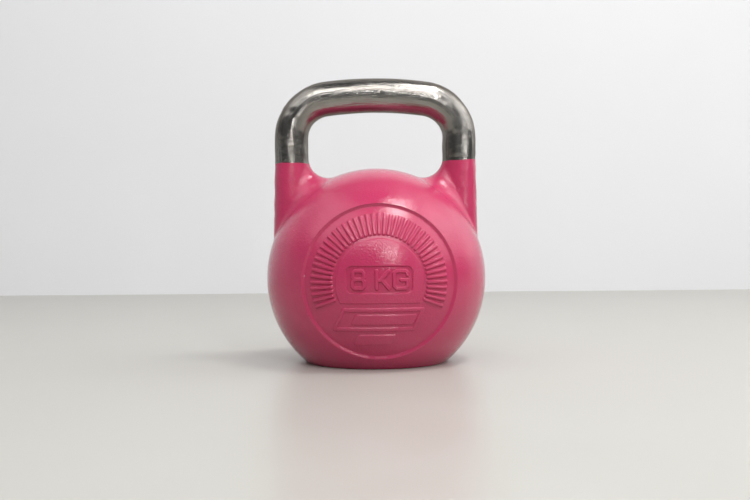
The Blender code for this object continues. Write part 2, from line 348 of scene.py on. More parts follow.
def fillet_centres(angle):
    """The fillet's centre for each direction round the post, as distance from its axis and height.

    The centre is one fillet radius from the post's side and one from the ball's circle. So it is
    where a line crosses a circle of radius (cut radius + fillet radius): the larger root of a
    quadratic.
    """
    top = HORN_TOP - BALL_CENTRE[2]
    cut_centre = -leg_offset * np.cos(angle)
    cut_radius = np.sqrt(BALL_RADIUS**2 - (leg_offset * np.sin(angle)) ** 2)
    spread = LEG_RADIUS + top * SLOPE + FILLET / np.cos(DRAFT) - cut_centre
    reach = cut_radius + FILLET
    root = np.sqrt((spread * SLOPE) ** 2 - (1 + SLOPE**2) * (spread**2 - reach**2))
    height = (spread * SLOPE + root) / (1 + SLOPE**2)
    offset = spread - height * SLOPE
    return offset + cut_centre, height + BALL_CENTRE[2], np.arctan2(-height, -offset) % (2 * np.pi)


def to_post(points, side):
    """Direction, distance from the post's axis, and height of each point."""
    x = side * points[:, 0] - leg_offset
    return np.arctan2(points[:, 1], x), np.hypot(x, points[:, 1]), points[:, 2]


def horn_field(points, side):
    """Zero on the horn's skin, positive outside it.

    Above the fillet it is the distance off the drafted side, and below it the distance off the arc.
    """
    angle, distance, height = to_post(points, side)
    centre, centre_height, _ = fillet_centres(angle)
    on_side = height - centre_height > -FILLET * np.sin(DRAFT)
    side_gap = (distance - LEG_RADIUS - (HORN_TOP - height) * SLOPE) * np.cos(DRAFT)
    arc_gap = FILLET - np.hypot(distance - centre, height - centre_height)
    return np.where(on_side, side_gap, arc_gap)


print("fillet centre towards the window:", [round(float(v), 4) for v in fillet_centres(np.pi)[:2]])

# %% [markdown]
# The paint was masked off with tape, by hand: the line rises a little towards the right on one horn
# and sags in the middle on the other. So the painted skin starts at a height that varies round the
# post.

# %% Build the horns
HORN_SIDES = 224
HORN_ROWS = 76
BURIED_DEPTH = 2.5 * MM
ROOT_DEPTH = 0.01 * MM
PAINT_LINE = 194.4 * MM
TAPE_HEIGHT = {1: 1.3, -1: -1.3}
TAPE_TILT = {1: 1.1, -1: 0.2}


def paint_line(angle, side):
    """Height of the paint's edge: a mean height, one slow tilt and a few waves round the post."""
    around = np.arctan2(np.sin(angle), side * np.cos(angle))
    tilt = TAPE_TILT[side] * np.cos(around)
    slow, quick = 0.3 * np.sin(2 * around + side), 0.14 * np.sin(5 * around)
    wave = slow + quick + 0.07 * np.sin(11 * around + 1)
    return PAINT_LINE + (TAPE_HEIGHT[side] + tilt + wave) * MM


def horn(side):
    """A post closed at both ends.

    Its rows follow the drafted side and then the fillet's arc, at even steps of the length
    travelled. The last row is carried a little way into the ball, so that the skins cross cleanly.
    """
    angle = np.arange(HORN_SIDES) * 2 * np.pi / HORN_SIDES
    centre, centre_height, end = fillet_centres(angle)
    top = paint_line(angle, side)
    side_end = centre_height - FILLET * np.sin(DRAFT)
    start = np.pi + np.maximum(DRAFT, np.arcsin(np.clip((centre_height - top) / FILLET, -1, 1)))
    side_length = np.maximum(top - side_end, 0)
    arc_length = FILLET * (end - start)
    share = np.linspace(0, 1, HORN_ROWS)[:, None]
    travelled = share * (side_length + arc_length)
    turn = start + np.maximum(travelled - side_length, 0) / FILLET
    on_side = travelled < side_length
    side_height = top - travelled
    side_distance = LEG_RADIUS + (HORN_TOP - side_height) * SLOPE
    distance = np.where(on_side, side_distance, centre + FILLET * np.cos(turn))
    height = np.where(on_side, side_height, centre_height + FILLET * np.sin(turn))
    x = side * (leg_offset + distance * np.cos(angle))
    y = distance * np.sin(angle)
    skin = np.stack([x, y, height], axis=-1)
    root = skin[-1] - BALL_CENTRE
    buried = BALL_CENTRE + root * (1 - BURIED_DEPTH / BALL_RADIUS)
    skin[-1] = BALL_CENTRE + root * (1 - ROOT_DEPTH / BALL_RADIUS)
    rings = np.concatenate([skin, buried[None]])
    if side < 0:
        rings = rings[:, ::-1]
    faces = grid_faces(len(rings), HORN_SIDES)[:, ::-1].tolist()
    faces.append(list(range(HORN_SIDES)))
    faces.append(list(range(len(rings) * HORN_SIDES - 1, (len(rings) - 1) * HORN_SIDES - 1, -1)))
    return new_piece(f"horn_{side}", rings, faces)


for side in (-1, 1):
    combine(casting, "UNION", horn(side))
print("casting with horns:", len(casting.data.polygons), "faces")

# %% [markdown]
# ## Windows for the medallions
#
# The relief on the two faces needs a much finer grid than the plain casting. So each medallion is a
# plate of its own, as thick as the wall, and the casting gets a round window for it. The seam lies
# where the rim of the medallion runs out into the plain ball, so both skins meet there with hardly
# a line. Only at the very top is it still on the rim's slope, about half a millimetre down. Two
# bores take the spigots.

# %% Cut the windows and the bores
WINDOW_RADIUS = 71.5 * MM
WINDOW_SIDES = 480
WINDOW_NEAR, WINDOW_FAR = 50 * MM, 130 * MM
BORE_SIDES = 96
BORE_CLEARANCE = 0.3 * MM


def round_cutter(near, far, radius, sides, axis, centre):
    """A plain round cutter between two heights on its axis."""
    profile = [(0, near), (radius, near), (radius, far), (0, far)]
    return turned("cutter", profile, sides, axis, centre)


for near, far in ((WINDOW_NEAR, WINDOW_FAR), (-WINDOW_FAR, -WINDOW_NEAR)):
    window = round_cutter(near, far, WINDOW_RADIUS, WINDOW_SIDES, "Y", BALL_CENTRE)
    combine(casting, "DIFFERENCE", window)
bore_bottom = spigot_low.z - BORE_CLEARANCE
for side in (-1, 1):
    leg_axis = np.array([side * leg_offset, 0, 0])
    leg_bore = round_cutter(bore_bottom, weld_height, TUBE_BORE, BORE_SIDES, "Z", leg_axis)
    combine(casting, "DIFFERENCE", leg_bore)
print("casting with windows and bores:", len(casting.data.polygons), "faces")

# %% [markdown]
# Every outer point of the casting lies on the ball, on the foot's edge or on a horn. The nearest of
# those true surfaces gives the point its exact place and direction, and the unevenness is added on
# top. The inside keeps plain shading with sharp edges.

# %% Finish the casting's skin
ON_SKIN = 0.06 * MM
SHARP_EDGE = np.radians(35)


def ball_field(points):
    """Distance outside the ball: how far a point is from the centre, less the radius."""
    return np.linalg.norm(points - BALL_CENTRE, axis=1) - BALL_RADIUS


def foot_field(points):
    """Distance outside the rounded foot edge, which is a ring of small circles."""
    from_axis = np.hypot(points[:, 0], points[:, 1])
    return np.hypot(from_axis - edge_offset, points[:, 2] - FOOT_EDGE) - FOOT_EDGE


SKINS = (
    ball_field, foot_field,
    lambda points: horn_field(points, -1), lambda points: horn_field(points, 1),
)


def finish_skin(piece):
    """Moves each outer point onto its true surface plus the unevenness, and sets its direction."""
    mesh = piece.data
    mesh.set_sharp_from_angle(angle=SHARP_EDGE)
    points = mesh_points(mesh)
    gaps = np.stack([skin(points) for skin in SKINS])
    nearest = np.abs(gaps).argmin(axis=0)
    on_skin = np.abs(gaps).min(axis=0) < ON_SKIN
    directions = np.zeros_like(points)
    for number, skin in enumerate(SKINS):
        chosen = on_skin & (nearest == number)
        place = points[chosen]
        outwards = gradient(skin, place)
        place = place - skin(place)[:, None] * outwards
        points[chosen] = place + unevenness(place)[:, None] * outwards
        directions[chosen] = gradient(lambda q: skin(q) - unevenness(q), points[chosen])
    mesh.vertices.foreach_set("co", points.ravel())
    mesh.update()
    set_directions(mesh, directions)
    return int(on_skin.sum())


print("outer points of the casting:", finish_skin(casting), "of", len(casting.data.vertices))
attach(casting, "root")
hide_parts("ball_shell")

# %% [markdown]
# ## The medallions
#
# The round face is cast with the ball: a sunk field inside a crisp rim, a raised half-moon, a sunk
# panel with the weight, and a ring of plain bars. Each shape is an outline whose distance is known
# at every point of the face, in millimetres, so one S-shaped step turns it into relief with soft
# cast edges.

# %% Outlines
def box_gap(x, z, centre, half, corner):
    """Distance outside a box with round corners, negative inside."""
    over_x = np.abs(x - centre[0]) - half[0] + corner
    over_z = np.abs(z - centre[1]) - half[1] + corner
    outside = np.hypot(np.maximum(over_x, 0), np.maximum(over_z, 0))
    return outside + np.minimum(np.maximum(over_x, over_z), 0) - corner


def stroke_gap(x, z, path, width):
    """Distance outside a stroke of one width that follows straight runs from point to point."""
    nearest = np.full(x.shape, np.inf)
    for (x0, z0), (x1, z1) in zip(path, path[1:]):
        run_x, run_z = x1 - x0, z1 - z0
        share = np.clip(((x - x0) * run_x + (z - z0) * run_z) / (run_x**2 + run_z**2), 0, 1)
        nearest = np.minimum(nearest, np.hypot(x - x0 - share * run_x, z - z0 - share * run_z))
    return nearest - width / 2


def step(gap, height, edge):
    """The height inside an outline, reached through an S-shaped edge centred on the outline."""
    return height * smoothstep(edge / 2, -edge / 2, gap)


inside_box = box_gap(np.array([8.0]), np.array([0.0]), (0, 0), (10, 5), 1)
print("a box 20 wide, 2 inside its side:", inside_box)

# %% The weight
STROKE = 3.1
EIGHT = [
    [
        (-3.2, 0.4), (-5.0, 2.1), (-5.0, 6.1), (-3.3, 7.9),
        (3.3, 7.9), (5.0, 6.1), (5.0, 2.1), (3.2, 0.4), (-3.2, 0.4),
    ],
    [
        (-3.2, 0.4), (-5.2, -1.4), (-5.2, -6.0), (-3.4, -7.9),
        (3.4, -7.9), (5.2, -6.0), (5.2, -1.4), (3.2, 0.4),
    ],
]
LETTER_K = [
    [(-5.5, 7.9), (-5.5, -7.9)],
    [(5.3, 7.9), (-2.4, -0.5), (-5.5, -0.5)],
    [(-1.4, 0.8), (5.5, -7.9)],
]
LETTER_G = [[
    (6.1, 4.3), (6.1, 6.1), (4.2, 7.9), (-4.2, 7.9), (-6.1, 5.9), (-6.1, -5.9), (-4.2, -7.9),
    (4.2, -7.9), (6.1, -6.0), (6.1, -0.4), (0.4, -0.4),
]]
WEIGHT = ((EIGHT, -20.4), (LETTER_K, 1.9), (LETTER_G, 18.6))
WEIGHT_HEIGHT = 3.1


def weight_gap(x, z):
    """Distance outside the nearest stroke of the weight's three characters."""
    gaps = [
        stroke_gap(x - offset, z - WEIGHT_HEIGHT, path, STROKE)
        for strokes, offset in WEIGHT for path in strokes
    ]
    return np.minimum.reduce(gaps)


print("strokes in the weight:", sum(len(strokes) for strokes, _ in WEIGHT))

# %% [markdown]
# The ring is a row of plain ribs and the field below holds two blank plates. They stand where other
# bells have lettering. A rib's outline is a slim box in its own turned frame: the angle of a point
# is reduced to the nearest rib, and the box is drawn there once.

# %% The whole relief
RIM_RADIUS, RIM_CENTRE_HEIGHT = 70.6, 0.5
MOON_CENTRE, MOON_RADIUS, MOON_FOOT = (-0.3, -0.4), 40.9, -18.7
RIB_RADIUS = 53.4
RIB_HALF = (1.35, 10.0)
RIB_CORNER = 0.9
RIB_PITCH = np.radians(5.3)
RIBS_EACH_SIDE = 21
RIB_RING_CENTRE = (-0.7, 0.5)
LEAN = 0.43

# Centre, half width and half height, and corner radius of each box, in millimetres.
WEIGHT_PANEL = ((-1.1, 3.1), (30.5, 12.3), 5.5)
PLATE_FRAME = ((-1.5, -33.8), (38.0, 10.8), 2.0)
FRAME_BORDER = 3.3
UPPER_PLATE = ((3.4, -33.8), (28.5, 4.6), 2.0)
LOWER_PLATE = ((-4.9, -53.0), (17.5, 4.8), 2.0)

# Height of each step over what lies round it, and the width of its edge, in millimetres.
FIELD_STEP = (-2.6, 1.9)
MOON_STEP = (0.8, 1.1)
PANEL_STEP = (-1.4, 1.05)
WEIGHT_STEP = (1.6, 1.05)
RIB_STEP = (1.8, 1.3)
PLATE_STEP = (1.1, 1.1)


def rib_gap(x, z):
    """Distance outside the nearest rib of the ring."""
    turn = np.arctan2(x, z)
    number = np.clip(np.round(turn / RIB_PITCH), -RIBS_EACH_SIDE, RIBS_EACH_SIDE)
    local = turn - number * RIB_PITCH
    radius = np.hypot(x, z)
    across, along = radius * np.sin(local), radius * np.cos(local)
    return box_gap(across, along, (0, RIB_RADIUS), RIB_HALF, RIB_CORNER)


def plate_gap(x, z, centre, half, corner):
    """Distance outside a leaning plate: a round-cornered box with each height slid sideways."""
    return box_gap(x - LEAN * (z - centre[1]), z, centre, half, corner)


def relief(x, z):
    """Height of the face over the ball, in millimetres: steps added one on another."""
    from_moon = np.hypot(x - MOON_CENTRE[0], z - MOON_CENTRE[1]) - MOON_RADIUS
    half_moon = np.maximum(from_moon, MOON_FOOT - z)
    frame_outside = plate_gap(x, z, *PLATE_FRAME)
    frame_border = np.maximum(frame_outside, -FRAME_BORDER - frame_outside)
    height = step(np.hypot(x, z - RIM_CENTRE_HEIGHT) - RIM_RADIUS, *FIELD_STEP)
    height += step(half_moon, *MOON_STEP)
    height += step(box_gap(x, z, *WEIGHT_PANEL), *PANEL_STEP)
    height += step(weight_gap(x, z), *WEIGHT_STEP)
    height += step(rib_gap(x - RIB_RING_CENTRE[0], z - RIB_RING_CENTRE[1]), *RIB_STEP)
    height += step(frame_border, *PLATE_STEP)
    height += step(plate_gap(x, z, *UPPER_PLATE), *PLATE_STEP)
    height += step(plate_gap(x, z, *LOWER_PLATE), *PLATE_STEP)
    return height


print("relief at the middle of a rib:", relief(np.array([0.0]), np.array([RIB_RADIUS])))

# %% [markdown]
# A medallion's grid is polar: rings round the middle of the face, closer together at the rim. Each
# point starts on the ball and moves along its own radius by the relief. The plate's back lies on
# the wall of the cavity, so the casting stays hollow with one even wall.

# %% Build the medallions
PLATE_SIDES = 540
SEAM_OVERLAP = 0.05 * MM
FIRST_RING, FIELD_END, FIELD_RINGS = 0.4 * MM, 68.3 * MM, 146
RIM_START, RIM_RINGS = 68.6 * MM, 14
BACK_END, BACK_RINGS = 6 * MM, 7
plate_edge = WINDOW_RADIUS + SEAM_OVERLAP
field_rings = np.linspace(FIRST_RING, FIELD_END, FIELD_RINGS)
outer_rings = np.concatenate([field_rings, np.linspace(RIM_START, plate_edge, RIM_RINGS)])
inner_rings = np.linspace(plate_edge, BACK_END, BACK_RINGS)


def face_height(points):
    """Relief and unevenness over the ball at each point, read along the point's radius."""
    offset = points - BALL_CENTRE
    flat = offset * (BALL_RADIUS / MM) / np.linalg.norm(offset, axis=1, keepdims=True)
    facing = -np.sign(offset[:, 1])
    return relief(flat[:, 0] * facing, flat[:, 2]) * MM + unevenness(points)


def face_grid(rings, radius, facing):
    """Points on a sphere round the ball's centre, at the given distances from the face's axis."""
    angle = np.arange(PLATE_SIDES) * 2 * np.pi / PLATE_SIDES
    across = rings[:, None] * np.cos(angle)
    depth = np.broadcast_to(np.sqrt(radius**2 - rings[:, None] ** 2), across.shape)
    up = rings[:, None] * np.sin(angle)
    return (np.stack([facing * across, -facing * depth, up], axis=-1) + BALL_CENTRE).reshape(-1, 3)


def medallion(name, facing):
    """A closed plate: rings of relief from the middle outwards, then the smooth back inwards."""
    cavity = BALL_RADIUS - WALL
    outer = face_grid(outer_rings, BALL_RADIUS, facing)
    poles = BALL_CENTRE + np.array([[0, -facing * BALL_RADIUS, 0], [0, -facing * cavity, 0]])
    front = np.concatenate([outer, poles[:1]])
    outwards = (front - BALL_CENTRE) / BALL_RADIUS
    front = front + face_height(front)[:, None] * outwards
    back = face_grid(inner_rings, cavity, facing)
    points = np.concatenate([front[:-1], back, front[-1:], poles[1:]])
    rows = len(outer_rings) + len(inner_rings)
    faces = grid_faces(rows, PLATE_SIDES)[:, ::-1].tolist()
    middle = rows * PLATE_SIDES
    back_middle, last = middle + 1, middle - PLATE_SIDES
    for i in range(PLATE_SIDES):
        j = (i + 1) % PLATE_SIDES
        faces.append([middle, i, j])
        faces.append([back_middle, last + j, last + i])
    plate = new_piece(name, points, faces)
    directions = np.zeros_like(points)
    shown = np.r_[0 : len(outer), middle]
    directions[shown] = gradient(lambda q: ball_field(q) - face_height(q), points[shown])
    set_directions(plate.data, directions)
    return plate


plates = [medallion("front_medallion", 1), medallion("back_medallion", -1)]
for plate in plates:
    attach(plate, "root")
    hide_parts("ball_shell")
    print(plate.name, len(plate.data.polygons), "faces")

# %% [markdown]
# ## The handle
#
# The real handle is a bent steel tube, welded to the horns and ground flush, so that tube and weld
# read as one bare skin. It is drawn as one grid: rings carried along a path of a straight leg, a
# round corner and a shallow arch, and the same back again. The belt grinder leaves long shallow
# flats, which are in the shape, because they are what breaks the reflections into streaks.

# %% The handle's path
LEG_ROWS = 40
CORNER_ROWS = 94
ARCH_ROWS = 78
UNDER_PAINT = 0.05 * MM
corner_offset = leg_offset - CORNER_RADIUS
arch_height = total_height - BAR_RADIUS - ARCH_RADIUS
corner_height = arch_height + np.sqrt((ARCH_RADIUS - CORNER_RADIUS) ** 2 - corner_offset**2)
corner_turn = np.arccos(corner_offset / (ARCH_RADIUS - CORNER_RADIUS))


def half_path(around, side):
    """Centre, outward turn, radius and length travelled, for each row of a half and each direction.

    On the leg the centre climbs from the paint's edge. In the corner and the arch it is an arc's
    centre plus the arc's radius along (cos turn, sin turn). The radius eases from the leg's to the
    bar's.
    """
    start = paint_line(around, side) - UNDER_PAINT
    leg_height = start + np.linspace(0, 1, LEG_ROWS + 1)[:-1, None] * (corner_height - start)
    leg = np.stack([np.full_like(leg_height, leg_offset), leg_height], axis=-1)
    in_corner = np.linspace(0, corner_turn, CORNER_ROWS + 1)[:-1, None] + 0 * around
    corner = arc_points((corner_offset, corner_height), CORNER_RADIUS, in_corner)
    in_arch = np.linspace(corner_turn, np.pi / 2, ARCH_ROWS + 1)[:, None] + 0 * around
    arch = arc_points((0, arch_height), ARCH_RADIUS, in_arch)
    centre = np.concatenate([leg, corner, arch])
    turn = np.concatenate([0 * leg_height, in_corner, in_arch])
    corner_length = CORNER_RADIUS * corner_turn
    travelled = np.concatenate([
        leg_height - corner_height,
        CORNER_RADIUS * in_corner,
        corner_length + ARCH_RADIUS * (in_arch - corner_turn),
    ])
    radius = LEG_RADIUS + (BAR_RADIUS - LEG_RADIUS) * smoothstep(0, corner_turn, turn)
    return centre, turn, radius, travelled


print(f"corner turns {np.degrees(corner_turn):.1f} degrees round height {corner_height:.4f}")

# %% Build the handle
HANDLE_SIDES = 144
BORE_STRIDE = 6
PAINT = 0.08 * MM
WELD_BLEND = (HORN_TOP + 1 * MM, HORN_TOP - 1.5 * MM)
GRIND_START = 3 * MM
FLAT_DEPTH, FLAT_SIZE, FLAT_STRETCH = 0.22, 6.5 * MM, (0.22, 1, 1)
SCORE_DEPTH, SCORE_SIZE, SCORE_STRETCH = 0.04, 2.2 * MM, (0.12, 1, 1)


def horn_radius(around, height):
    """The painted horn's radius at a height: its drafted side, or the fillet's arc lower down."""
    centre, centre_height, _ = fillet_centres(around)
    drop = height - centre_height
    on_arc = centre - np.sqrt(np.maximum(FILLET**2 - drop**2, 0))
    on_side = LEG_RADIUS + (HORN_TOP - height) * SLOPE
    return np.where(drop > -FILLET * np.sin(DRAFT), on_side, on_arc)


def tube_point(centre, turn, radius, around):
    """centre + radius ((cos turn, sin turn) cos around, sin around): a ring across the path."""
    outward = np.stack([np.cos(turn), np.sin(turn)], axis=-1)
    flat = centre + (radius * np.cos(around))[..., None] * outward
    return np.stack([flat[..., 0], radius * np.sin(around), flat[..., 1]], axis=-1)


def grinding(grain):
    """How far the grinder's flats stand off the round tube: two sizes of noise, drawn out."""
    flats = value_noise(grain * FLAT_STRETCH, FLAT_SIZE, 4)
    scores = value_noise(grain * SCORE_STRETCH, SCORE_SIZE, 5)
    return (FLAT_DEPTH * flats + SCORE_DEPTH * scores) * MM


def half_handle(around, side):
    """Outer points, bore points and grain coordinates of one half, from the leg's end to the crown.

    Near the weld the radius eases over to the painted horn's, less the coat of paint. The grain's
    coordinates are the length from the crown and the place across the tube.
    """
    centre, turn, radius, travelled = half_path(around, side)
    around = around + 0 * turn
    height = centre[..., 1]
    over_end = height - height[:1]
    at_horn = smoothstep(*WELD_BLEND, height) * (turn == 0)
    under_paint = horn_radius(around, np.minimum(height, corner_height)) - PAINT
    radius = radius + at_horn * (under_paint - radius)
    from_crown = side * (travelled - travelled[-1])
    grain = np.stack([from_crown, radius * np.cos(around), radius * np.sin(around)], axis=-1)
    place = tube_point(centre, turn, radius, around) * (side, 1, 1)
    uneven = unevenness(place.reshape(-1, 3)).reshape(radius.shape)
    ground = grinding(grain.reshape(-1, 3)).reshape(radius.shape)
    radius = radius + uneven + ground * smoothstep(0, GRIND_START, np.where(turn == 0, over_end, 1))
    outer = tube_point(centre, turn, radius, around) * (side, 1, 1)
    bore = tube_point(centre, turn, np.full_like(radius, TUBE_BORE), around) * (side, 1, 1)
    return outer, bore, grain


def join_halves(right, left):
    """The right half's rows, then the left half's backwards, with the crown's row only once."""
    return np.concatenate([right, left[-2::-1]])


tube_angle = np.arange(HANDLE_SIDES) * 2 * np.pi / HANDLE_SIDES
right_half, left_half = half_handle(tube_angle, 1), half_handle(tube_angle, -1)
outer, bore, grain = (join_halves(right, left) for right, left in zip(right_half, left_half))
bore_rows = np.r_[0 : len(bore) - 1 : BORE_STRIDE, len(bore) - 1][::-1]
rings = np.concatenate([outer, bore[bore_rows]])
tube_faces = grid_faces(len(rings), HANDLE_SIDES, wrap_rows=True).tolist()
handle = new_piece("ground_handle", rings, tube_faces)
handle.data.set_sharp_from_angle(angle=SHARP_EDGE)
along = np.gradient(outer, axis=0)
around_ring = np.roll(outer, -1, axis=1) - np.roll(outer, 1, axis=1)
outwards = np.cross(around_ring, along)
outwards /= np.linalg.norm(outwards, axis=-1, keepdims=True)
set_directions(handle.data, np.concatenate([outwards, 0 * bore[bore_rows]]).reshape(-1, 3))
along /= np.linalg.norm(along, axis=-1, keepdims=True)
for attribute_name, vectors in (("grain", grain), ("lengthwise", along)):
    attribute = handle.data.attributes.new(attribute_name, "FLOAT_VECTOR", "POINT")
    attribute.data.foreach_set("vector", np.concatenate([vectors, vectors[bore_rows]]).ravel())
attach(handle, "root")
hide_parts("handle", "left_handle_weld", "right_handle_weld")
print("handle:", len(handle.data.polygons), "faces")

# %% [markdown]
# ## Building a finish
#
# A finish is a small net of nodes. One helper turns the hex colours of a paint card into the linear
# light that the renderer adds up, and another adds one node with its settings and its links.
# Patterns are sized from real millimetres: a noise of scale s has cells of 1/s metres.

# %% Finish helpers
def linear(code):
    """An sRGB hex colour as linear red, green, blue and alpha."""
    value = np.array([int(code[i : i + 2], 16) for i in (1, 3, 5)]) / 255
    light = np.where(value <= 0.04045, value / 12.92, ((value + 0.055) / 1.055) ** 2.4)
    return (*light.tolist(), 1.0)


def per_metre(millimetres):
    """The pattern scale whose cells are this many millimetres wide."""
    return 1 / (millimetres * MM)


def new_finish(name):
    """A material and its net, empty."""
    finish = bpy.data.materials.new(name)
    finish.use_nodes = True
    finish.node_tree.nodes.clear()
    return finish, finish.node_tree


def add(net, kind, settings=None, **inputs):
    """Adds one node. An input is a plain value or another node's output socket.

    An underscore in an input's name stands for a space.
    """
    node = net.nodes.new("ShaderNode" + kind)
    for name, value in (settings or {}).items():
        setattr(node, name, value)
    for name, value in inputs.items():
        socket = node.inputs[name.replace("_", " ")]
        if isinstance(value, bpy.types.NodeSocket):
            net.links.new(value, socket)
        else:
            socket.default_value = value
    return node


print("the lighter pink is", [round(v, 3) for v in linear("#B9385E")])

# %% [markdown]
# ## Pink enamel
#
# The bell is sprayed with a synthetic enamel over the blasted casting. The coat levels well but
# keeps orange peel: ripples about a millimetre wide and a few hundredths deep, which break a
# reflected lamp into bright grains. Below them the casting's own skin shows as slower waves.
# Ripples that fine would vanish from a metre away, so they are drawn nearly two millimetres wide,
# and deeper, as coarse as they need to be to show.

# %% Pink enamel
def enamel(name):
    """Faint patches of colour and gloss, under slow waves and the finer ripples of orange peel."""
    finish, net = new_finish(name)
    place = add(net, "TexCoord").outputs["Object"]
    patches = add(net, "TexNoise", Vector=place, Scale=per_metre(35), Detail=3.0).outputs[0]
    colour = add(
        net, "Mix", {"data_type": "RGBA"}, Factor=patches, A=linear("#AE3358"), B=linear("#B9385E")
    )
    waves = add(net, "TexNoise", Vector=place, Scale=per_metre(5), Detail=2.0).outputs[0]
    peel = add(
        net, "TexNoise", Vector=place, Scale=per_metre(1.8), Detail=2.0, Roughness=0.6
    ).outputs[0]
    wavy = add(net, "Bump", Height=waves, Strength=1.0, Distance=0.06 * MM).outputs[0]
    peeled = add(net, "Bump", Height=peel, Strength=1.0, Distance=0.31 * MM, Normal=wavy).outputs[0]
    gloss = add(net, "MapRange", Value=patches, To_Min=0.10, To_Max=0.15).outputs[0]
    shader = add(
        net, "BsdfPrincipled",
        Base_Color=colour.outputs["Result"], Roughness=gloss, IOR=1.5, Normal=peeled,
    )
    add(net, "OutputMaterial", Surface=shader.outputs[0])
    return finish


pink_enamel = enamel("pink_spray_enamel")
for piece in (casting, *plates):
    piece.data.materials.clear()
    piece.data.materials.append(pink_enamel)
print("enamel on", casting.name, "and", len(plates), "plates")

# %% [markdown]
# ## Belt-ground steel
#
# The handle is mild steel, ground on a belt and left bare, so that chalk holds on it. The belt
# leaves scratches and narrow flats along the tube, and thin oxide stays darker in the low spots.
# The pattern runs on the handle's own grain coordinates, so it follows every bend. Real belt
# scratches are under a tenth of a millimetre wide. They are drawn about a millimetre wide here, as
# coarse as they need to be to show. The finest scratches, left where the belt crosses the tube, run
# round it and draw a reflected lamp out lengthwise. They are too fine to draw, so the shader's
# anisotropy stands for them.

# %% Belt-ground steel
def ground_steel(name):
    """Lengthwise scratches over wider bands, with brown-grey oxide where a third noise is high."""
    finish, net = new_finish(name)
    grain_place = add(net, "Attribute", {"attribute_name": "grain"}).outputs["Vector"]
    lengthwise = add(net, "Attribute", {"attribute_name": "lengthwise"}).outputs["Vector"]
    drawn_out = add(net, "Mapping", Vector=grain_place, Scale=(0.06, 1, 1)).outputs[0]
    half_drawn = add(net, "Mapping", Vector=grain_place, Scale=(0.15, 1, 1)).outputs[0]
    scratches = add(net, "TexNoise", Vector=drawn_out, Scale=per_metre(1.1), Detail=3.0).outputs[0]
    bands = add(net, "TexNoise", Vector=half_drawn, Scale=per_metre(3.6), Detail=3.0).outputs[0]
    stains = add(net, "TexNoise", Vector=half_drawn, Scale=per_metre(7), Detail=5.0).outputs[0]
    oxide = add(net, "MapRange", Value=stains, From_Min=0.5, From_Max=0.7).outputs[0]
    bright = add(
        net, "Mix", {"data_type": "RGBA"}, Factor=bands, A=linear("#7B7772"), B=linear("#A8A5A0")
    ).outputs["Result"]
    colour = add(net, "Mix", {"data_type": "RGBA"}, Factor=oxide, A=bright, B=linear("#79736D"))
    rough = add(net, "MapRange", Value=bands, To_Min=0.15, To_Max=0.23).outputs[0]
    scored = add(net, "Bump", Height=scratches, Strength=1.0, Distance=0.28 * MM).outputs[0]
    banded = add(
        net, "Bump", Height=bands, Strength=1.0, Distance=0.28 * MM, Normal=scored
    ).outputs[0]
    shader = add(
        net, "BsdfPrincipled",
        Base_Color=colour.outputs["Result"], Metallic=1.0, Roughness=rough, Normal=banded,
        Specular_Tint=linear("#BDB9B4"), Anisotropic=0.3, Tangent=lengthwise,
    )
    add(net, "OutputMaterial", Surface=shader.outputs[0])
    return finish


handle.data.materials.append(ground_steel("belt_ground_steel"))
print("steel on", handle.name)

# %% [markdown]
# ## The pieces carried over from the model
#
# The threaded plug in the foot, its washer, the two spigots inside the handle and the shot that
# trims the weight keep their modelled shape. The plug and spigots are turned on a lathe, which
# leaves rings round the axis. Real ones lie a fraction of a millimetre apart, and are drawn nearly
# four apart here, so that they show. The washer is moulded rubber. The shot is set in resin, so its
# face is grains in a binder.

# %% Turned steel
def turned_steel(name, centre):
    """Rings round an upright axis through the centre, as a lathe tool leaves them."""
    finish, net = new_finish(name)
    place = add(net, "TexCoord").outputs["Object"]
    centred = add(net, "Mapping", Vector=place, Location=(-centre[0], -centre[1], 0)).outputs[0]
    rings = add(
        net, "TexWave", {"wave_type": "RINGS", "rings_direction": "Z"},
        Vector=centred, Scale=per_metre(12), Distortion=0.4, Detail=2.0,
    ).outputs[0]
    patches = add(net, "TexNoise", Vector=place, Scale=per_metre(7), Detail=3.0).outputs[0]
    colour = add(
        net, "Mix", {"data_type": "RGBA"}, Factor=patches, A=linear("#8C8882"), B=linear("#ABA7A2")
    )
    rough = add(net, "MapRange", Value=patches, To_Min=0.24, To_Max=0.36).outputs[0]
    ringed = add(net, "Bump", Height=rings, Strength=0.3, Distance=0.02 * MM).outputs[0]
    shader = add(
        net, "BsdfPrincipled",
        Base_Color=colour.outputs["Result"], Metallic=1.0, Roughness=rough, Normal=ringed,
    )
    add(net, "OutputMaterial", Surface=shader.outputs[0])
    return finish


def coat(node_name, finish):
    """Puts a finish on a carried-over node, in each of its material slots."""
    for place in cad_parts[node_name].material_slots:
        place.material = finish


coat("core_plug", turned_steel("turned_plug_steel", (0, 0)))
coat("left_handle_spigot", turned_steel("turned_left_spigot_steel", (-leg_offset, 0)))
coat("right_handle_spigot", turned_steel("turned_right_spigot_steel", (leg_offset, 0)))
print("turned steel on the plug and two spigots")

# %% Moulded rubber
def moulded_rubber(name):
    """Near-black rubber with a faint grey bloom and a fine grain from its mould."""
    finish, net = new_finish(name)
    place = add(net, "TexCoord").outputs["Object"]
    bloom = add(net, "TexNoise", Vector=place, Scale=per_metre(4), Detail=4.0).outputs[0]
    texture = add(net, "TexNoise", Vector=place, Scale=per_metre(0.4), Detail=2.0).outputs[0]
    colour = add(
        net, "Mix", {"data_type": "RGBA"}, Factor=bloom, A=linear("#1C1C1D"), B=linear("#2C2B2B")
    )
    grained = add(net, "Bump", Height=texture, Strength=0.3, Distance=0.03 * MM).outputs[0]
    shader = add(
        net, "BsdfPrincipled", Base_Color=colour.outputs["Result"], Roughness=0.75, Normal=grained
    )
    add(net, "OutputMaterial", Surface=shader.outputs[0])
    return finish


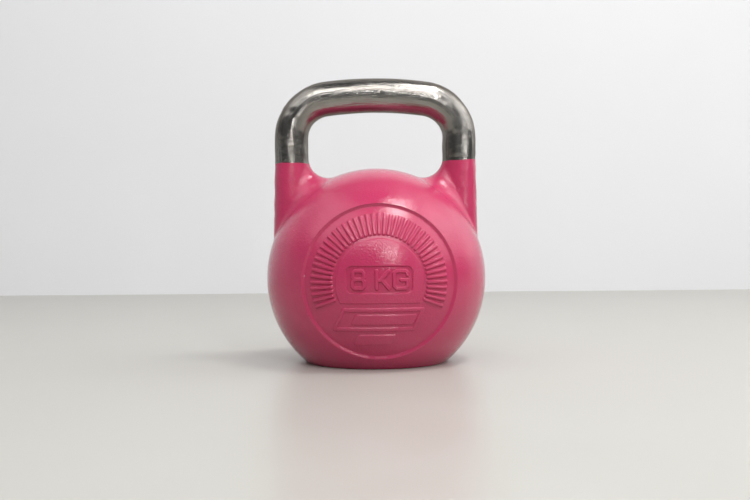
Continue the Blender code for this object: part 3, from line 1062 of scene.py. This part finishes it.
coat("plug_washer", moulded_rubber("moulded_nitrile_rubber"))
print("rubber on the washer")

# %% Shot in resin
def shot_in_resin(name):
    """One cell for each grain of shot, each with a grey of its own, raised round its middle."""
    finish, net = new_finish(name)
    place = add(net, "TexCoord").outputs["Object"]
    grains = add(net, "TexVoronoi", Vector=place, Scale=per_metre(1.6))
    colour = add(
        net, "Mix", {"data_type": "RGBA"},
        Factor=grains.outputs["Color"], A=linear("#3F3C39"), B=linear("#6B6763"),
    )
    distance = grains.outputs["Distance"]
    height = add(net, "MapRange", Value=distance, To_Min=1.0, To_Max=0.0).outputs[0]
    bumpy = add(net, "Bump", Height=height, Strength=0.8, Distance=0.4 * MM).outputs[0]
    shader = add(
        net, "BsdfPrincipled", Base_Color=colour.outputs["Result"], Roughness=0.55, Normal=bumpy
    )
    add(net, "OutputMaterial", Surface=shader.outputs[0])
    return finish


coat("trim_ballast", shot_in_resin("shot_set_in_resin"))
print("shot on the ballast")

# %% [markdown]
# ## Floor and wall
#
# A pale polished concrete floor meets a pale painted wall about a metre behind the bell. The floor
# is smooth enough to hold a faint pink reflection of the ball.

# %% Floor and wall
WALL_DISTANCE = 1.015
ROOM_HALF = 4.0
WALL_TOP = 3.0


def panel(name, corners):
    """A flat backdrop from four corners."""
    backdrop = new_piece(name, np.array(corners), [[0, 1, 2, 3]])
    return backdrop


floor = panel("floor", [
    (-ROOM_HALF, -ROOM_HALF, 0), (ROOM_HALF, -ROOM_HALF, 0),
    (ROOM_HALF, WALL_DISTANCE, 0), (-ROOM_HALF, WALL_DISTANCE, 0),
])
wall = panel("wall", [
    (-ROOM_HALF, WALL_DISTANCE, 0), (ROOM_HALF, WALL_DISTANCE, 0),
    (ROOM_HALF, WALL_DISTANCE, WALL_TOP), (-ROOM_HALF, WALL_DISTANCE, WALL_TOP),
])


def polished_concrete(name):
    """Pale grey in slow clouds, and a little glossier where it is darker."""
    finish, net = new_finish(name)
    place = add(net, "TexCoord").outputs["Object"]
    clouds = add(
        net, "TexNoise", Vector=place, Scale=per_metre(140), Detail=6.0, Roughness=0.6
    ).outputs[0]
    colour = add(
        net, "Mix", {"data_type": "RGBA"}, Factor=clouds, A=linear("#AAA8A1"), B=linear("#B2B0AA")
    )
    rough = add(net, "MapRange", Value=clouds, To_Min=0.30, To_Max=0.40).outputs[0]
    shader = add(net, "BsdfPrincipled", Base_Color=colour.outputs["Result"], Roughness=rough)
    add(net, "OutputMaterial", Surface=shader.outputs[0])
    return finish


def painted_wall(name):
    """Matt off-white paint with very faint clouds."""
    finish, net = new_finish(name)
    place = add(net, "TexCoord").outputs["Object"]
    clouds = add(net, "TexNoise", Vector=place, Scale=per_metre(300), Detail=3.0).outputs[0]
    colour = add(
        net, "Mix", {"data_type": "RGBA"}, Factor=clouds, A=linear("#DEDEDF"), B=linear("#E2E2E5")
    )
    shader = add(net, "BsdfPrincipled", Base_Color=colour.outputs["Result"], Roughness=0.8)
    add(net, "OutputMaterial", Surface=shader.outputs[0])
    return finish


floor.data.materials.append(polished_concrete("polished_concrete"))
wall.data.materials.append(painted_wall("matt_wall_paint"))
print("floor and wall, wall at", WALL_DISTANCE)

# %% [markdown]
# ## Light
#
# Two small lamps, in front and overhead, make the bright glints on the ball and the streak along
# the bar. Four wide banks light the room, the wall and the enamel softly. Bare steel shows only
# what it mirrors, so three faint low cards stand where the legs of the handle mirror them, and a
# few narrow beams, shaded so that they light one leg each, lift single streaks. A weak grey sky
# fills the rest.

# %% Lamps and sky
# Name, azimuth and elevation in degrees, distance and size in metres, power in watts.
ROOM_LAMPS = (
    ("front_lamp", 15, 27, 2.0, (0.18, 0.21), 6.2),
    ("overhead_lamp", 58, 70, 1.7, (0.5, 0.3), 12.5),
    ("front_bank", 2, 48, 3.0, (2.0, 1.05), 35),
    ("left_bank", -62, 54, 3.0, (3.4, 2.2), 33),
    ("right_bank", 74, 36, 3.0, (3.0, 2.4), 37),
    ("side_bank", 105, 50, 3.0, (2.4, 2.4), 21),
    ("left_card", -97, 6, 2.5, (1.8, 0.7), 1.0),
    ("front_card", 24, -1, 3.0, (4.0, 0.7), 1.7),
    ("right_card", 119, 22, 1.7, (0.9, 0.8), 1.9),
)
RIGHT_STRIP_AZIMUTHS = (28, 37, 46)
STRIP_ELEVATION, STRIP_DISTANCE, STRIP_SPREAD = 4, 1.6, 4
RIGHT_STRIP_SIZE, RIGHT_STRIP_POWER = (0.18, 0.22), 0.003
LEFT_STRIP_SIZE, LEFT_STRIP_POWER = (0.08, 0.2), 0.0044
RIGHT_AIM = np.array([0.09, 0, 0.17])
LEFT_AIM = np.array([-0.11, 0, 0.18])
SKY_STRENGTH = 0.15


def lamp(name, azimuth, elevation, distance, size, power, target=BALL_CENTRE, spread=180):
    """A soft rectangular lamp aimed at a point. Azimuth 0 is the front, positive to the right."""
    data = bpy.data.lights.new(name, "AREA")
    data.shape = "RECTANGLE"
    data.size, data.size_y = size
    data.energy = power
    data.spread = np.radians(spread)
    turn, lift = np.radians(azimuth), np.radians(elevation)
    away = np.array([np.sin(turn) * np.cos(lift), -np.cos(turn) * np.cos(lift), np.sin(lift)])
    lamp_object = bpy.data.objects.new(name, data)
    lamp_object.location = target + distance * away
    lamp_object.rotation_euler = (np.pi / 2 - lift, 0, turn)
    lamp_object.visible_camera = False
    bpy.context.scene.collection.objects.link(lamp_object)


for room_lamp in ROOM_LAMPS:
    lamp(*room_lamp)
for azimuth in RIGHT_STRIP_AZIMUTHS:
    lamp(
        "right_strip", azimuth, STRIP_ELEVATION, STRIP_DISTANCE,
        RIGHT_STRIP_SIZE, RIGHT_STRIP_POWER, RIGHT_AIM, STRIP_SPREAD,
    )
lamp(
    "left_strip", 0, STRIP_ELEVATION, STRIP_DISTANCE,
    LEFT_STRIP_SIZE, LEFT_STRIP_POWER, LEFT_AIM, STRIP_SPREAD,
)

sky = bpy.data.worlds.new("sky")
sky.use_nodes = True
background = sky.node_tree.nodes["Background"]
background.inputs["Color"].default_value = linear("#E8ECF0")
background.inputs["Strength"].default_value = SKY_STRENGTH
bpy.context.scene.world = sky
bpy.context.scene.view_settings.view_transform = "Standard"
